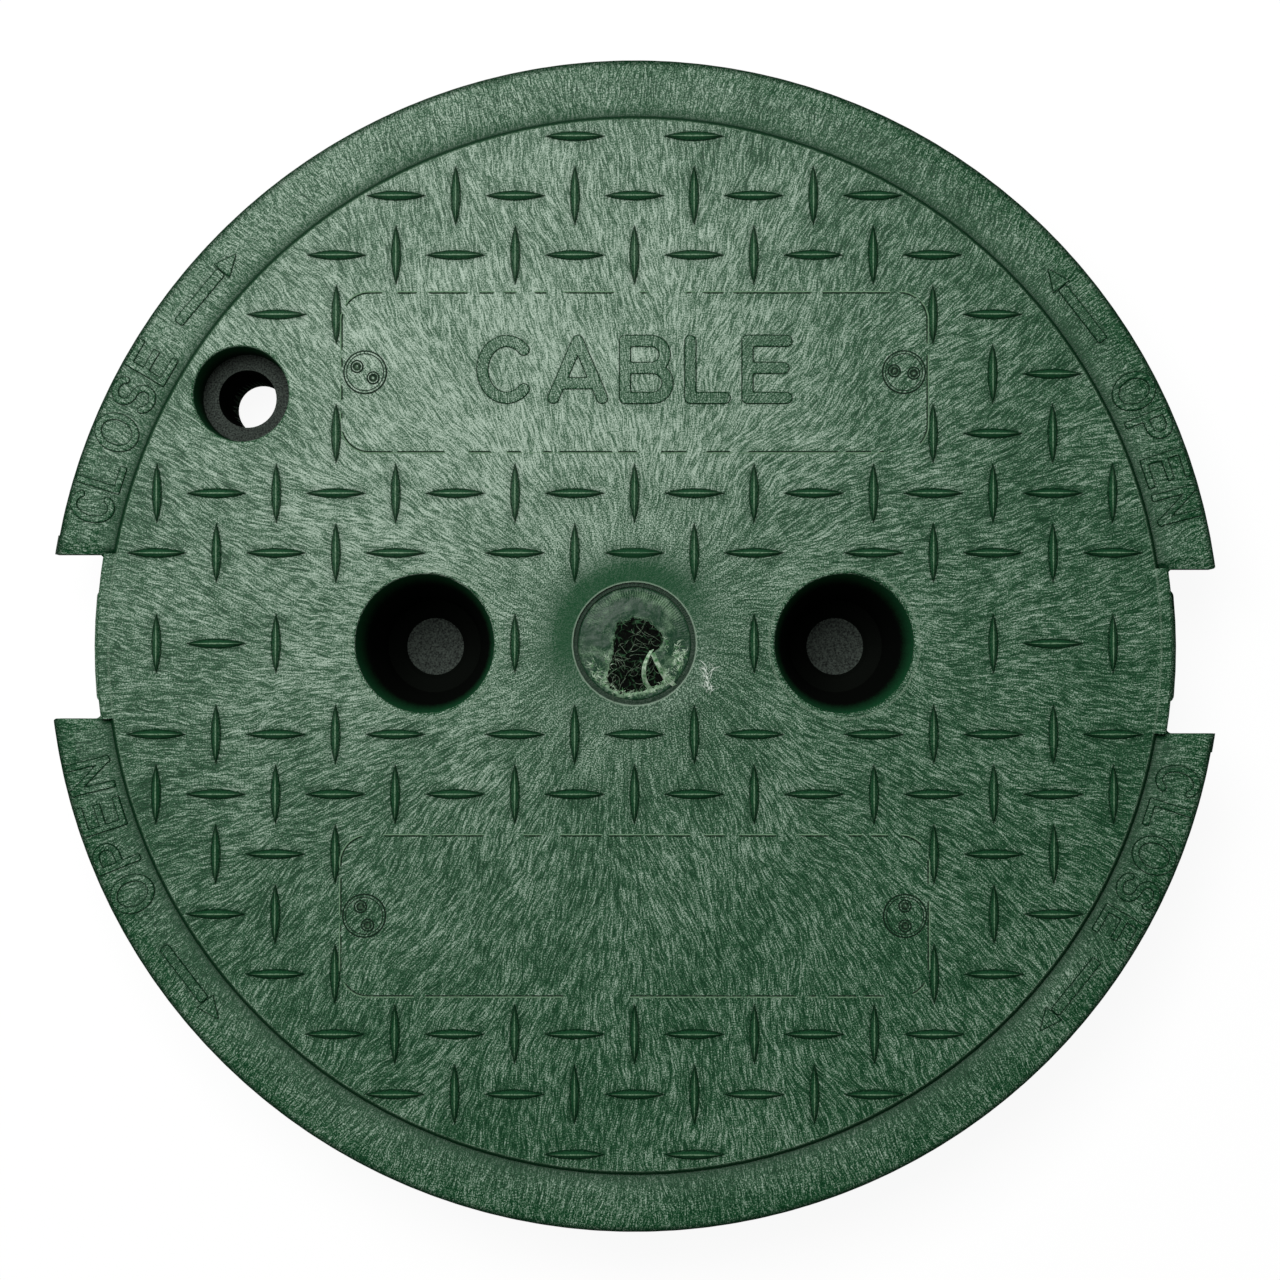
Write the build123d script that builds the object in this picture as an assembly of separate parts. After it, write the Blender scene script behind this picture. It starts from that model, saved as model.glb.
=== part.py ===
from build123d import *

import os
from math import cos, hypot, radians, sin, sqrt, tan

# A round twist-lock cover for a cable pit, moulded in one piece in structural foam. It is seen
# from above as a flat tread disc inside a lower, crowned flange. A skirt with two bayonet lugs
# plugs into the neck of the pit, the flange lies on the rim of the pit, and a bolt through the
# deep hole near the edge locks the cover. Two blind tapered sockets take the turning tool.
# Lengths are in millimetres and angles in degrees. +Z is up, and the origin is on the axis of
# the disc at the level of the foot of the skirt.

# Overall
cover_height = 44.0
skirt_diameter = 273.4
draft = 1.0

# Tread disc
plate_thickness = 6.0
tread_inset = 3.0
tread_edge_bevel = 0.4
valley_inset = 2.2
valley_depth = 1.7

# Flange
flange_overhang = 12.3
flange_crown_drop = 0.8
flange_crown_place = 7.4
flange_shoulder_drop = 1.2
flange_edge_round = 1.5
flange_thickness = 7.0

# Skirt
skirt_wall = 5.6
foot_bevel = 0.8

# Notches through the flange, above the bayonet lugs
notch_width = 41.8
notch_offset = 1.9
notch_corner_round = 1.6
notch_edge_bevel = 0.7
flange_corner_round = 0.8
flange_side_slope_width = 2.2
flange_side_slope_drop = 1.1
pad_reach = 0.3
pad_length = 4.8
pad_root = 2.0

# Bayonet lugs
lug_reach = 6.6
lug_length = 30.0
lug_height = 8.0
lug_above_foot = 2.0
lug_corner_round = 2.0

# Blind sockets for the turning tool
socket_spacing = 106.4
socket_mouth_diameter = 36.7
socket_mouth_round = 0.7
socket_throat_diameter = 24.5
socket_step_diameter = 17.3
socket_floor_diameter = 15.1
socket_floor_thickness = 5.2
socket_step_rise = 1.0
socket_throat_rise = 3.6
socket_wall = 4.2

# Lock bolt hole
bolt_inset = 18.3
bolt_angle = 147.6
bolt_mouth_diameter = 25.8
bolt_mouth_round = 0.8
bolt_seat_diameter = 22.9
bolt_seat_depth = 12.7
bolt_lead_diameter = 14.9
bolt_bore_diameter = 13.2
bolt_bore_length = 13.0
bolt_seat_thickness = 5.0
bolt_boss_wall = 4.2

# Gate in the middle of the disc
gate_dimple_diameter = 42.0
gate_dimple_depth = 0.6
gate_recess_diameter = 31.2
gate_recess_depth = 0.9
gate_step_diameter = 29.2
gate_step_depth = 0.6
gate_stub_diameter = 17.0
gate_stub_height = 0.5
gate_hub_diameter = 42.0

# Ribs under the disc
rib_count = 12
rib_depth = 22.0
rib_thickness = 4.0
inner_ring_diameter = 152.0
outer_ring_diameter = 212.0

# Raised lugs of the tread
tread_pitch = 15.15
tread_first_row = 23.0
tread_lug_length = 15.6
tread_lug_width = 2.8
tread_lug_height = 1.1
tread_ridge_length = 12.0
tread_ridge_width = 0.3
tread_edge_margin = 0.4
panel_length = 148.8
panel_width = 40.6
panel_spacing = 137.8
socket_margin = 2.0
gate_margin = 4.2
bolt_margin = 2.6

# Heads of the screws that hold the mould's exchangeable panels, seen as low discs
insert_disc_diameter = 10.4
insert_disc_height = 0.25
insert_disc_inset_x = 6.0
insert_pip_diameter = 2.6
insert_pip_height = 0.5
insert_pip_spacing = 5.0
insert_pip_turns = {(-1, 1): -35.0, (1, 1): -7.0, (-1, -1): -69.0, (1, -1): -90.0}

# Cutters run this far past the faces that they cut, and points closer than this are one
overcut = 5.0
same_place = 0.01

top = cover_height
skirt_radius = skirt_diameter / 2
tread_radius = skirt_radius - tread_inset
flange_radius = skirt_radius + flange_overhang
plate_underside = top - plate_thickness
rib_foot = plate_underside - rib_depth
flange_seat = top - flange_shoulder_drop - flange_thickness
draft_slope = tan(radians(draft))

# How far the middle of a quarter round lies inside its corner, as a share of its radius
round_share = 1 - sqrt(0.5)


def skirt_outside(height):
    """Outer radius of the drafted skirt at a height above its foot."""
    return skirt_radius - (flange_seat - height) * draft_slope


def turned(outline):
    """Solid of revolution about +Z of a closed outline drawn in the X, Z plane."""
    return revolve(Plane.XZ * make_face(outline), Axis.Z)


def notch_gap(turn, width=notch_width):
    """Plan of the gap that one notch leaves beside the skirt, with straight sides."""
    reach = flange_overhang + overcut
    return Rot(0, 0, turn) * Pos(skirt_radius, -notch_offset) * Rectangle(2 * reach, width)


def notch_blocks(width):
    """The gaps of both notches as blocks that pass up through the flange."""
    height = top - flange_seat + overcut
    return [Pos(0, 0, flange_seat) * extrude(notch_gap(turn, width), height) for turn in (0, 180)]


def notch_corners(plan):
    """Corners of a plan that lie on the straight sides of the notches."""
    sides = (notch_width / 2 + notch_offset, notch_width / 2 - notch_offset)
    corners = plan.vertices()
    return [v for v in corners if any(abs(abs(v.Y) - side) < same_place for side in sides)]


def flange_plan():
    """Plan of the disc and flange, with a notch on each side and rounded corners."""
    plan = Circle(flange_radius)
    for turn in (0, 180):
        plan -= notch_gap(turn) - Circle(skirt_radius)
    middle = skirt_radius + flange_overhang / 2
    outer = [v for v in notch_corners(plan) if hypot(v.X, v.Y) > middle]
    plan = fillet(outer, flange_corner_round)
    inner = [v for v in notch_corners(plan) if hypot(v.X, v.Y) < middle]
    return fillet(inner, notch_corner_round)


def flange_relief():
    """Ring of space over the flange: the step at the disc, the valley, crown and edge."""
    valley = (skirt_radius - valley_inset, top - valley_depth)
    crown = (skirt_radius + flange_crown_place, top - flange_crown_drop)
    shoulder = (flange_radius - flange_edge_round, top - flange_shoulder_drop)
    edge_middle = (
        flange_radius - round_share * flange_edge_round,
        top - flange_shoulder_drop - round_share * flange_edge_round,
    )
    edge_end = (flange_radius, top - flange_shoulder_drop - flange_edge_round)
    outline = [
        Polyline(
            (tread_radius - tread_edge_bevel, top),
            (tread_radius, top - tread_edge_bevel),
            valley,
        ),
        TangentArc(crown, valley, tangent=(-1, 0)),
        Line(crown, shoulder),
        ThreePointArc(shoulder, edge_middle, edge_end),
        Polyline(
            edge_end,
            (flange_radius + overcut, edge_end[1]),
            (flange_radius + overcut, top + overcut),
            (tread_radius - tread_edge_bevel, top + overcut),
            (tread_radius - tread_edge_bevel, top),
        ),
    ]
    return turned(outline)


def notch_edge_relief():
    """Ring of space that bevels the edge of the disc where a notch lays it open."""
    outline = Polyline(
        (skirt_radius - notch_edge_bevel, top),
        (skirt_radius, top - notch_edge_bevel),
        (skirt_radius + overcut, top - notch_edge_bevel),
        (skirt_radius + overcut, top + overcut),
        (skirt_radius - notch_edge_bevel, top + overcut),
        (skirt_radius - notch_edge_bevel, top),
    )
    return turned(outline)


def flange_side_reliefs():
    """Wedges of space that slope the flange down to the sides of both notches."""
    shoulder = top - flange_shoulder_drop
    ring = Circle(flange_radius + overcut) - Circle(skirt_radius - valley_inset)
    reach = Pos(0, 0, flange_seat) * extrude(ring, top - flange_seat + overcut)
    rise = flange_side_slope_drop / flange_side_slope_width
    wedges = []
    for side, way in ((notch_width / 2 - notch_offset, 1), (-notch_width / 2 - notch_offset, -1)):
        profile = Polyline(
            (side - way * overcut, shoulder - flange_side_slope_drop - rise * overcut),
            (side + way * overcut, shoulder - flange_side_slope_drop + rise * overcut),
            (side - way * overcut, shoulder - flange_side_slope_drop + rise * overcut),
            (side - way * overcut, shoulder - flange_side_slope_drop - rise * overcut),
        )
        wedge = extrude(Plane.YZ * make_face(profile), flange_radius + overcut)
        wedges.extend(Rot(0, 0, turn) * (wedge & reach) for turn in (0, 180))
    return wedges


def disc_and_flange():
    """Disc and notched flange, at full thickness down to the flange seat."""
    blank = Pos(0, 0, flange_seat) * extrude(flange_plan(), top - flange_seat)
    blank -= flange_relief() - notch_blocks(notch_width)
    blank -= flange_side_reliefs()
    inside_corners = notch_width - 2 * notch_corner_round
    return blank - [notch_edge_relief() & block for block in notch_blocks(inside_corners)]


def skirt_blank():
    """Drafted skirt as a full drum, with its outer foot edge bevelled."""
    radius = skirt_outside(0)
    outline = Polyline(
        (0, 0),
        (radius - foot_bevel, 0),
        (skirt_outside(foot_bevel), foot_bevel),
        (skirt_radius, flange_seat),
        (0, flange_seat),
        (0, 0),
    )
    return turned(outline)


def hollow():
    """Space inside the skirt, up to the underside of the disc."""
    radius = skirt_radius - skirt_wall
    foot_radius = radius + plate_underside * draft_slope
    outline = Polyline(
        (0, plate_underside),
        (radius, plate_underside),
        (foot_radius - foot_bevel * draft_slope, foot_bevel),
        (foot_radius + foot_bevel, 0),
        (foot_radius + foot_bevel, -overcut),
        (0, -overcut),
        (0, plate_underside),
    )
    return turned(outline)


def flange_pad(turn):
    """Low pad on the outside of the flange, at the end of the flange beside one notch."""
    ring = Circle(flange_radius + pad_reach) - Circle(flange_radius - pad_root)
    side = notch_width / 2 + notch_offset
    place = Pos(flange_radius, -side - pad_length / 2)
    plan = ring & place * Rectangle(flange_overhang, pad_length)
    height = top - flange_shoulder_drop - flange_edge_round - flange_seat
    return Rot(0, 0, turn) * Pos(0, 0, flange_seat) * extrude(plan, height)


def bayonet_lug():
    """Locking lug on the outside of the skirt, seen low down through its notch."""
    outer = Circle(skirt_radius + lug_reach) - Circle(skirt_radius - skirt_wall / 2)
    plan = outer & Pos(skirt_radius, 0) * Rectangle(2 * (lug_reach + skirt_wall), lug_length)
    lug = Pos(0, 0, lug_above_foot) * extrude(plan, lug_height)
    corners = lug.edges().filter_by(Axis.Z).group_by(SortBy.DISTANCE)[-1]
    lug = fillet(corners, lug_corner_round)
    return lug


def rib_section(height):
    """Drafted section of a rib that hangs from the disc, centred on the first axis."""
    root = rib_thickness / 2
    tip = root - height * draft_slope
    return Polygon((-root, 0), (root, 0), (tip, -height), (-tip, -height), align=None)


def ribs():
    """Radial ribs and two rings under the disc."""
    length = skirt_radius - skirt_wall / 2
    rib = extrude(Plane.YZ * rib_section(rib_depth), length)
    rib = Pos(0, 0, plate_underside) * rib
    parts = [copy for copy in PolarLocations(0, rib_count) * rib]
    for diameter in (inner_ring_diameter, outer_ring_diameter):
        section = Plane.XZ * (Pos(diameter / 2, plate_underside) * rib_section(rib_depth))
        parts.append(revolve(section, Axis.Z))
    return parts


def socket_boss():
    """Drafted wall around one blind socket, down to the level of the foot."""
    foot_radius = socket_throat_diameter / 2 + socket_wall
    top_radius = socket_mouth_diameter / 2 - socket_mouth_round + socket_wall
    height = plate_underside
    return Cone(foot_radius, top_radius, height, align=(Align.CENTER, Align.CENTER, Align.MIN))


def socket_cavity():
    """Blind tapered socket with a rounded mouth and a stepped floor."""
    mouth = socket_mouth_diameter / 2
    throat = socket_throat_diameter / 2
    floor = socket_floor_thickness
    turn = round_share * socket_mouth_round
    outline = [
        Polyline(
            (0, floor),
            (socket_floor_diameter / 2, floor),
            (socket_step_diameter / 2, floor + socket_step_rise),
            (throat, floor + socket_throat_rise),
            (mouth - socket_mouth_round, top - socket_mouth_round),
        ),
        ThreePointArc(
            (mouth - socket_mouth_round, top - socket_mouth_round),
            (mouth - socket_mouth_round + turn, top - turn),
            (mouth, top),
        ),
        Polyline((mouth, top), (mouth, top + overcut), (0, top + overcut), (0, floor)),
    ]
    return turned(outline)


def bolt_boss():
    """Boss around the lock bolt hole, wide at the washer seat and slim below it."""
    wide = bolt_mouth_diameter / 2 + bolt_boss_wall - bolt_mouth_round
    slim_top = bolt_lead_diameter / 2 + bolt_boss_wall
    slim_foot = bolt_bore_diameter / 2 + bolt_boss_wall
    under_seat = top - bolt_seat_depth - bolt_seat_thickness
    outline = Polyline(
        (0, 0),
        (slim_foot, 0),
        (slim_top, under_seat),
        (wide, under_seat + wide - slim_top),
        (wide, plate_underside + plate_thickness / 2),
        (0, plate_underside + plate_thickness / 2),
        (0, 0),
    )
    return turned(outline)


def bolt_cavity():
    """Counterbore for the washer, tapered lead and the straight bore at the foot."""
    mouth = bolt_mouth_diameter / 2
    bore = bolt_bore_diameter / 2
    seat = top - bolt_seat_depth
    turn = round_share * bolt_mouth_round
    outline = [
        Polyline(
            (0, -overcut),
            (bore, -overcut),
            (bore, bolt_bore_length),
            (bolt_lead_diameter / 2, seat),
            (bolt_seat_diameter / 2, seat),
            (mouth - bolt_mouth_round, top - bolt_mouth_round),
        ),
        ThreePointArc(
            (mouth - bolt_mouth_round, top - bolt_mouth_round),
            (mouth - bolt_mouth_round + turn, top - turn),
            (mouth, top),
        ),
        Polyline((mouth, top), (mouth, top + overcut), (0, top + overcut), (0, -overcut)),
    ]
    return turned(outline)


def gate_cavity():
    """Shallow dimple around the gate, with a stepped recess and the stub left in it."""
    dimple = gate_dimple_diameter / 2
    recess = gate_recess_diameter / 2
    step = gate_step_diameter / 2
    stub = gate_stub_diameter / 2
    dimple_level = top - gate_dimple_depth
    recess_level = dimple_level - gate_recess_depth
    step_level = recess_level - gate_step_depth
    outline = Polyline(
        (0, step_level + gate_stub_height),
        (stub, step_level + gate_stub_height),
        (stub + gate_stub_height, step_level),
        (step, step_level),
        (step, recess_level),
        (recess, recess_level),
        (recess, dimple_level),
        (dimple, top),
        (dimple, top + overcut),
        (0, top + overcut),
        (0, step_level + gate_stub_height),
    )
    return turned(outline)


def lens(length, width):
    """Plan of a tread lug or of its ridge: two arcs that meet in points."""
    half = length / 2
    upper = ThreePointArc((-half, 0), (0, width / 2), (half, 0))
    lower = ThreePointArc((half, 0), (0, -width / 2), (-half, 0))
    return make_face([upper, lower])


def tread_lug():
    """One raised lug, along X: steep flanks that rise to a thin ridge."""
    sunk = tread_lug_height
    foot = Pos(0, 0, top) * lens(tread_lug_length, tread_lug_width)
    ridge = Pos(0, 0, top + tread_lug_height) * lens(tread_ridge_length, tread_ridge_width)
    flanks = loft([foot, ridge], ruled=True)
    root = Pos(0, 0, top - sunk) * extrude(lens(tread_lug_length, tread_lug_width), sunk)
    return flanks + root


def distance_to_segment(point, centre, upright):
    """Shortest distance from a point to the middle line of a tread lug."""
    half = tread_lug_length / 2
    along = (point[1] - centre[1]) if upright else (point[0] - centre[0])
    across = (point[0] - centre[0]) if upright else (point[1] - centre[1])
    return hypot(max(abs(along) - half, 0), across)


def tread_lug_fits(centre, upright):
    """True where a lug lies on the disc and clears the panels, holes and gate."""
    half = tread_lug_length / 2
    half_x, half_y = (0, half) if upright else (half, 0)
    if hypot(abs(centre[0]) + half_x, abs(centre[1]) + half_y) > tread_radius - tread_edge_margin:
        return False
    gap_x = abs(centre[0]) - half_x - panel_length / 2
    gap_y = abs(abs(centre[1]) - panel_spacing / 2) - half_y - panel_width / 2
    if gap_x < 0 and gap_y < 0:
        return False
    keep_out = [
        ((socket_spacing / 2, 0), socket_mouth_diameter / 2 + socket_margin),
        ((-socket_spacing / 2, 0), socket_mouth_diameter / 2 + socket_margin),
        ((0, 0), gate_recess_diameter / 2 + gate_margin),
        (bolt_place, bolt_mouth_diameter / 2 + bolt_margin),
    ]
    return all(distance_to_segment(spot, centre, upright) > reach for spot, reach in keep_out)


def tread_places():
    """Places of the tread lugs: a lattice whose lugs lie along X and Y by turns."""
    steps = range(-int(tread_radius / tread_pitch) - 1, int(tread_radius / tread_pitch) + 2)
    places = []
    for row in steps:
        side = (row > 0) - (row < 0)
        height = side * (tread_first_row + (abs(row) - 1) * tread_pitch)
        for column in steps:
            centre = (column * tread_pitch, height)
            upright = (row + column) % 2 == 0
            if tread_lug_fits(centre, upright):
                places.append(Pos(*centre) * Rot(0, 0, 90 if upright else 0))
    return places


def insert_discs():
    """Low discs with two pips each, at the ends of the mould's two panels."""
    parts = []
    x = panel_length / 2 - insert_disc_inset_x
    for (side_x, side_y), turn in insert_pip_turns.items():
        place = Pos(side_x * x, side_y * (panel_spacing / 2), top)
        parts.append(place * Cylinder(insert_disc_diameter / 2, 2 * insert_disc_height))
        for end in (-1, 1):
            shift = Rot(0, 0, turn) * Pos(end * insert_pip_spacing / 2, 0)
            parts.append(place * shift * Cylinder(insert_pip_diameter / 2, 2 * insert_pip_height))
    return parts


bolt_radius = skirt_radius - bolt_inset
bolt_place = (bolt_radius * cos(radians(bolt_angle)), bolt_radius * sin(radians(bolt_angle)))
socket_places = [Pos(-socket_spacing / 2, 0), Pos(socket_spacing / 2, 0)]

cover = disc_and_flange() + skirt_blank() - hollow()
cover += [flange_pad(turn) for turn in (0, 180)]
cover += ribs()
cover += Pos(0, 0, rib_foot) * Cylinder(
    gate_hub_diameter / 2, rib_depth, align=(Align.CENTER, Align.CENTER, Align.MIN)
)
cover += [place * socket_boss() for place in socket_places]
cover += Pos(*bolt_place) * bolt_boss()
cover += [Rot(0, 0, turn) * bayonet_lug() for turn in (0, 180)]
cover -= [place * socket_cavity() for place in socket_places]
cover -= Pos(*bolt_place) * bolt_cavity()
cover -= gate_cavity()
cover += [place * tread_lug() for place in tread_places()]
cover += insert_discs()

os.makedirs("parts", exist_ok=True)
cover.label = "pit_cover"
export_step(cover, "parts/pit_cover.step")
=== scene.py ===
import math
import random

import bpy
import numpy as np
from mathutils import Matrix, Vector, noise


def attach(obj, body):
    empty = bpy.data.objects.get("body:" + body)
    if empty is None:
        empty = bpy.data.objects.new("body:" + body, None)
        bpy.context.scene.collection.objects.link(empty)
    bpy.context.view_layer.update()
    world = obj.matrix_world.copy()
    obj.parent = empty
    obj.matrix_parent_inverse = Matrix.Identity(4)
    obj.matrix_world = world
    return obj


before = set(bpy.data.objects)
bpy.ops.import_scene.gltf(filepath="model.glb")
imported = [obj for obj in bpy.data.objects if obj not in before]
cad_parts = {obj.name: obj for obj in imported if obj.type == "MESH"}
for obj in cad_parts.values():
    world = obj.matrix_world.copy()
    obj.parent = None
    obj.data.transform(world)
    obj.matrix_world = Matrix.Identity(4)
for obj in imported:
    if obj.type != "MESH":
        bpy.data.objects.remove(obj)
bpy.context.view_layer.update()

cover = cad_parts["pit_cover"]

MM = 0.001
LOOK_DOWN_FROM = 100.0
FAR_AWAY = 1e9
BODY = "root"

# Heights and radii of the cover, in millimetres, as the frame has them
tread_height = 44.0
lug_ridge_height = tread_height + 1.1
skirt_radius = 136.7
tread_radius = skirt_radius - 3.0
valley_radius = skirt_radius - 2.2
flange_radius = skirt_radius + 12.3
lettering_radius = 142.2
notch_width = 41.8
notch_offset = 1.9
gate_ring_radius = 15.6
socket_place = 53.2
socket_radius = 19.0
socket_floor_height = 5.2
bolt_place = (-99.97, 63.44)
bolt_mouth_radius = 12.9
bolt_seat_depth = 12.7
disc_place_x = 68.4
disc_place_y = 68.9
disc_radius = 5.2
disc_turns = {"upper_left": -35, "upper_right": -7, "lower_left": -69, "lower_right": -90}
pip_radius = 1.3
pip_spacing = 5.0

# Lines round the discs and their pips: distances in millimetres, and points in each line
outer_line_gap = 0.25
disc_ring_inset = 0.50
pip_spot_inset = 0.65
disc_line_steps = 64
pip_line_steps = 32

# Strips that carry the disc's edge to the sides of the notches, in millimetres
ledge_length = 5.02
ledge_overlap = 0.1
ledge_width = 2.2
ledge_depth = 5.5
ledge_bevel = 0.7
ledge_steps = 12

# Raised words and arrows on the flange, in millimetres and degrees
rim_letter_height = 11.8
rim_stroke = 2.0
rim_corner = 0.45
rim_lift = 0.42
rim_cell = 0.25
rim_widths = {"O": 9.9, "C": 8.6, "L": 7.3, "S": 7.6, "E": 7.9, "P": 7.6, "N": 8.4}
arrow_length = 23.6
arrow_shaft_width = 2.9
arrow_head_length = 6.3
arrow_head_width = 5.6
arrow_rounding = 0.7
arrow_blunt_tip = 0.5
arrow_radius = lettering_radius - 0.8
rim_words = {
    "close_word_back": [("C", 165.75), ("L", 162.4), ("O", 157.8), ("S", 153.6), ("E", 149.8)],
    "close_word_front": [("C", 345.7), ("L", 341.9), ("O", 337.8), ("S", 333.8), ("E", 329.6)],
    "open_word_back": [("O", 26.8), ("P", 22.7), ("E", 18.3), ("N", 14.3)],
    "open_word_front": [("O", 206.5), ("P", 202.1), ("E", 198.0), ("N", 193.7)],
}
rim_arrows = {
    "close_arrow_back": (140.2, True),
    "close_arrow_front": (320.9, True),
    "open_arrow_back": (37.6, False),
    "open_arrow_front": (217.5, False),
}

# Raised word on the upper panel, in millimetres
panel_word = "CABLE"
panel_letter_height = 17.7
panel_stroke = 3.2
panel_lift = 0.4
panel_cell = 0.3
panel_letter_gap = 2.6
panel_word_place = (0.0, 69.6)
panel_widths = {"C": 15.4, "A": 15.6, "B": 14.0, "L": 11.9, "E": 13.1}

# Width of a raised shape's sloping edge, and how far its foot sinks in, in millimetres
raised_edge = 0.32
foot_sink = 0.06

# A letter's line with more points than this is a curve, and has round ends
straight_line_points = 5

# Exchangeable panels of the mould, in millimetres
panel_length = 148.8
panel_width = 40.6
panel_spacing = 137.8
panel_corner = 7.0
panel_line_step = 0.5
panel_line_patchiness = 0.35

# Fine lines in section: each edge's distance from the line, its height and its shade, from painted shade
# at 0 to painted highlight at 1
panel_section = [
    (-0.36, -0.02, 0.2), (-0.28, 0.03, 0.1), (0.06, 0.04, 0.15),
    (0.12, 0.06, 0.9), (0.34, 0.04, 1.0), (0.42, -0.02, 0.8),
]
outer_section = [(-0.22, -0.02, 0.1), (-0.18, 0.04, 0.0), (0.12, 0.04, 0.0), (0.18, -0.02, 0.2)]
ring_section = [(-0.14, -0.02, 0.2), (-0.12, 0.03, 0.1), (0.12, 0.03, 0.1), (0.14, -0.02, 0.2)]
spot_section = [
    (-0.36, -0.02, 0.5), (-0.30, 0.03, 0.4), (0.10, 0.03, 0.0),
    (0.42, 0.03, 0.2), (0.46, -0.02, 0.2),
]

# Gate recess in the middle, in millimetres
gate_radius = 14.4
stub_radius = 8.5
stub_level = 42.4
skin_cell = 0.2
skin_lift = 0.35
core_cell = 0.22
core_lift = 0.05
core_box = 30.0
gate_edge = 0.3
gate_sink = 0.1
skin_ridge_count = 130
gate_core_outline = [
    (-4.4, 4.8), (-0.3, 6.3), (3.5, 5.4), (7.0, 2.5), (6.7, -0.6), (4.2, -2.2), (5.0, -5.6),
    (7.2, -6.4), (7.2, -9.8), (2.5, -12.0), (-3.5, -12.6), (-7.3, -10.1), (-5.4, -3.0),
]
gate_ribs = [
    [(4.4, -1.6), (2.7, -4.2), (2.2, -7.6), (2.9, -10.6), (5.0, -12.4)],
    [(4.6, -2.4), (6.1, -5.8), (7.8, -8.8), (10.2, -10.6)],
]
# Each tuft's place, half width, heading in degrees and number of strands
gate_tufts = [
    (10.6, -3.2, 2.9, 320, 150),
    (9.0, -0.8, 1.6, 60, 30),
    (-8.9, -7.4, 2.4, 195, 80),
    (-6.8, -4.6, 0.9, 100, 14),
    (8.8, -8.0, 1.9, 310, 40),
]
# Strands to each side of a rib's middle and their spacing, the frayed hem's strands and its
# first angle and turn in degrees, the web's strands, and how thick they all are
gate_rib_strands = 3
gate_rib_spread = 0.16
gate_rib_thickness = 0.17
gate_hem_count = 110
gate_hem_start = 228
gate_hem_turn = 95
gate_tuft_thickness = 0.16
gate_web_count = 55
gate_web_thickness = 0.10

# Scuff beside the gate, in millimetres
scuff_place = (18.5, -9.5)
scuff_count = 30
scuff_thickness = 0.24
scuff_sink = 0.26

# Streaks, speckle and patches of the foamed plastic: noise scales for each millimetre,
# half lengths of streaks in millimetres, and the samples along them
fine_streak = (3.4, 0.85, 7)
long_streak = (1.6, 1.7, 6)
stipple_scale = 3.0
patch_scale = 0.045
wander_scale = 0.035
jitter_scale = 0.28

# Middle of the painted pool of light that makes the tread paler, and how far it reaches, in millimetres
light_pool_place = (-34.0, 61.0)
light_pool_reach = (10.0, 150.0)

# Reach of the calmer plastic round the gate, and of the painted shade that darkens the tread towards the
# gate, in millimetres
calm_reach = (22.0, 50.0)
gate_shade_reach = (20.0, 60.0)

# How far the painted shade in corners reaches, in millimetres, and the rays that look for corners
shade_reach = 3.2
shade_rays = 4

# Colours of the plastic, and of the painted shade and painted highlights on it, linear
PLASTIC_DARK = (0.002, 0.040, 0.012)
PLASTIC_MID = (0.026, 0.110, 0.046)
PLASTIC_PALE = (0.480, 0.620, 0.500)
# Painted highlights: along the lugs' ridges and the fine lines' raised lips, and on edges
RIDGE_HIGHLIGHT = (0.17, 0.30, 0.18)
EDGE_HIGHLIGHT = (0.22, 0.32, 0.23)
# Painted shade: darkest at feet and in the valley, a shaded green on flanks, beside the valley and in
# the gate's dimple, and darkest in corners, grooves and on the flange's edge
FOOT_SHADE = (0.002, 0.016, 0.006)
SHADED_GREEN = (0.010, 0.072, 0.026)
PAINTED_SHADE = (0.002, 0.020, 0.007)
# Painted shade that goes to black deep in the holes, and green near their mouths painted lighter to
# stand in for light
HOLE_SHADE_BLACK = (0.002, 0.003, 0.002)
HOLE_GREEN = (0.013, 0.100, 0.036)
FLOOR_DARK = (0.012, 0.014, 0.013)
FLOOR_GREY = (0.072, 0.090, 0.076)
SKIN_COLOURS = ((0.012, 0.052, 0.024), (0.26, 0.42, 0.26))
# The core's first colour is painted shade in its pores
CORE_COLOURS = ((0.0005, 0.001, 0.0005), (0.035, 0.10, 0.045))
TORN_COLOURS = ((0.05, 0.22, 0.06), (0.62, 0.78, 0.60))
WEB_COLOURS = ((0.03, 0.08, 0.035), (0.24, 0.34, 0.23))
SCUFF_COLOURS = ((0.20, 0.32, 0.22), (0.8, 0.9, 0.8))

# Set, light and camera, in metres, with brightness 1 for white
WHITE = (1.0, 1.0, 1.0, 1.0)
BLACK = (0.0, 0.0, 0.0, 1.0)
floor_half = 3.0
floor_drop = 0.0002
floor_glow = 0.93
floor_tone = (0.10, 0.10, 0.10, 1.0)
world_brightness = 0.11
key_place = (-0.22, 0.34, 1.10)
key_aim = (0.0, 0.0, 0.04)
key_size = (0.6, 0.5)
key_brightness = 11.0
camera_place = (0.0034, -0.0143, 0.790)
camera_aim = (0.0014, 0.0009, 0.044)
camera_lens = 82.8
camera_sensor = 36.0


# The lie of the cover's surface

def surface_height(x, y):
    """Height of the cover's upper surface at a place, all in millimetres."""
    start = Vector((x * MM, y * MM, LOOK_DOWN_FROM * MM))
    hit, place, _, _ = cover.ray_cast(start, Vector((0.0, 0.0, -1.0)))
    return place.z / MM if hit else 0.0


# Pieces

def carried(name, data, material):
    """Makes a piece of the object, which rides on the cover."""
    data.materials.append(material)
    piece = bpy.data.objects.new(name, data)
    bpy.context.scene.collection.objects.link(piece)
    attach(piece, BODY)


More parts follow.
